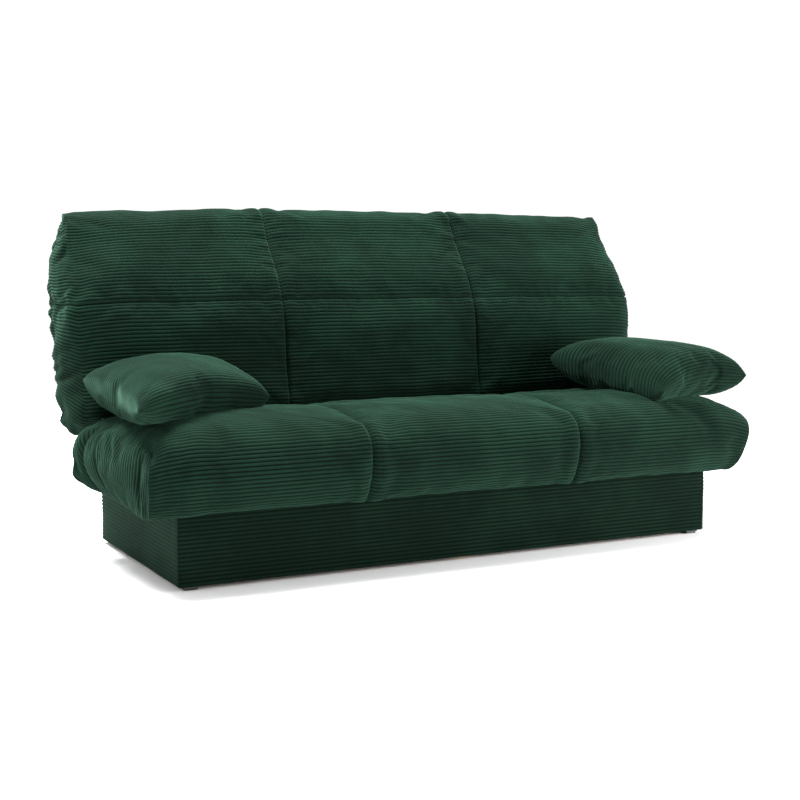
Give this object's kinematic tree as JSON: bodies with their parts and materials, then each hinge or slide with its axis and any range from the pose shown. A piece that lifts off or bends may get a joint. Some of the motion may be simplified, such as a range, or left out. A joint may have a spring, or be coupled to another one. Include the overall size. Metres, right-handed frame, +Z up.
{
  "type": "futon sofa bed",
  "caption": "Upholstered sofa bed with a corduroy cover; the back folds flat, the seat lifts over a storage box, and loose pillows lie on the seat.",
  "frame": {"origin": "on the floor, in the middle of the sofa's width and depth with the back upright", "axes": "+X along the width, to the viewer's right; -Y is the front; +Z is up"},
  "size_m": [1.9, 0.941, 1.0162],
  "materials": {
    "corduroy": "matte",
    "box_corduroy": "matte",
    "foam": "matte",
    "board": "matte",
    "hardboard": "satin",
    "beech": "satin",
    "frame_steel": "satin",
    "zinc_steel": "satin",
    "spring_steel": "satin",
    "black_plastic": "matte",
    "nylon": "satin",
    "buffer_rubber": "matte"
  },
  "bodies": {
    "base": {"box_front_panel": "board", "box_rear_panel": "board", "box_left_panel": "board", "box_right_panel": "board", "box_bottom_left": "hardboard", "box_bottom_right": "hardboard", "box_centre_rail": "board", "box_corner_blocks": "board", "box_screws": "zinc_steel", "box_cover": "box_corduroy", "glides": "black_plastic", "seat_buffers": "buffer_rubber", "bracket_left": "zinc_steel", "bracket_right": "zinc_steel", "bracket_bolts": "zinc_steel", "pivot_pin_left": "zinc_steel", "pivot_pin_right": "zinc_steel", "pivot_washers": "nylon", "spring_hooks": "zinc_steel"},
    "seat": {"seat_front_rail": "frame_steel", "seat_rear_rail": "frame_steel", "seat_cross_tubes": "frame_steel", "seat_tube_plugs": "black_plastic", "seat_slats": "beech", "seat_slat_caps": "black_plastic", "seat_foam": "foam", "seat_cover_left": "corduroy", "seat_cover_mid": "corduroy", "seat_cover_right": "corduroy", "seat_end_left": "corduroy", "seat_end_right": "corduroy", "seat_arm_left": "zinc_steel", "seat_arm_right": "zinc_steel", "seat_bolts": "zinc_steel", "lift_spring_left": "spring_steel", "lift_spring_right": "spring_steel"},
    "back": {"back_top_rail": "frame_steel", "back_bottom_rail": "frame_steel", "back_cross_tubes": "frame_steel", "back_tube_plugs": "black_plastic", "back_slats": "beech", "back_slat_caps": "black_plastic", "back_foam": "foam", "back_cover_left": "corduroy", "back_cover_mid": "corduroy", "back_cover_right": "corduroy", "back_end_left": "corduroy", "back_end_right": "corduroy", "back_arm_left": "zinc_steel", "back_arm_right": "zinc_steel", "back_bolts": "zinc_steel", "back_spacers": "black_plastic"},
    "pillow_left": {"pillow_left": "corduroy"},
    "pillow_right": {"pillow_right": "corduroy"}
  },
  "joints": [
    {"name": "seat_lift", "type": "hinge", "parent": "base", "child": "seat", "pos_m": [0, 0.103, 0.3844], "axis": [-1, 0, 0], "range_deg": [0, 30], "deforming": ["lift_spring_left", "lift_spring_right"]},
    {"name": "back_fold", "type": "hinge", "parent": "base", "child": "back", "pos_m": [0, 0.103, 0.3844], "axis": [-1, 0, 0], "range_deg": [0, 69.1]},
    {"name": "pillow_left_lift", "type": "slide", "parent": "seat", "child": "pillow_left", "axis": [0, -0.6, 0.8], "range_m": [0, 0.25]},
    {"name": "pillow_right_lift", "type": "slide", "parent": "seat", "child": "pillow_right", "axis": [0, -0.6, 0.8], "range_m": [0, 0.25]}
  ]
}
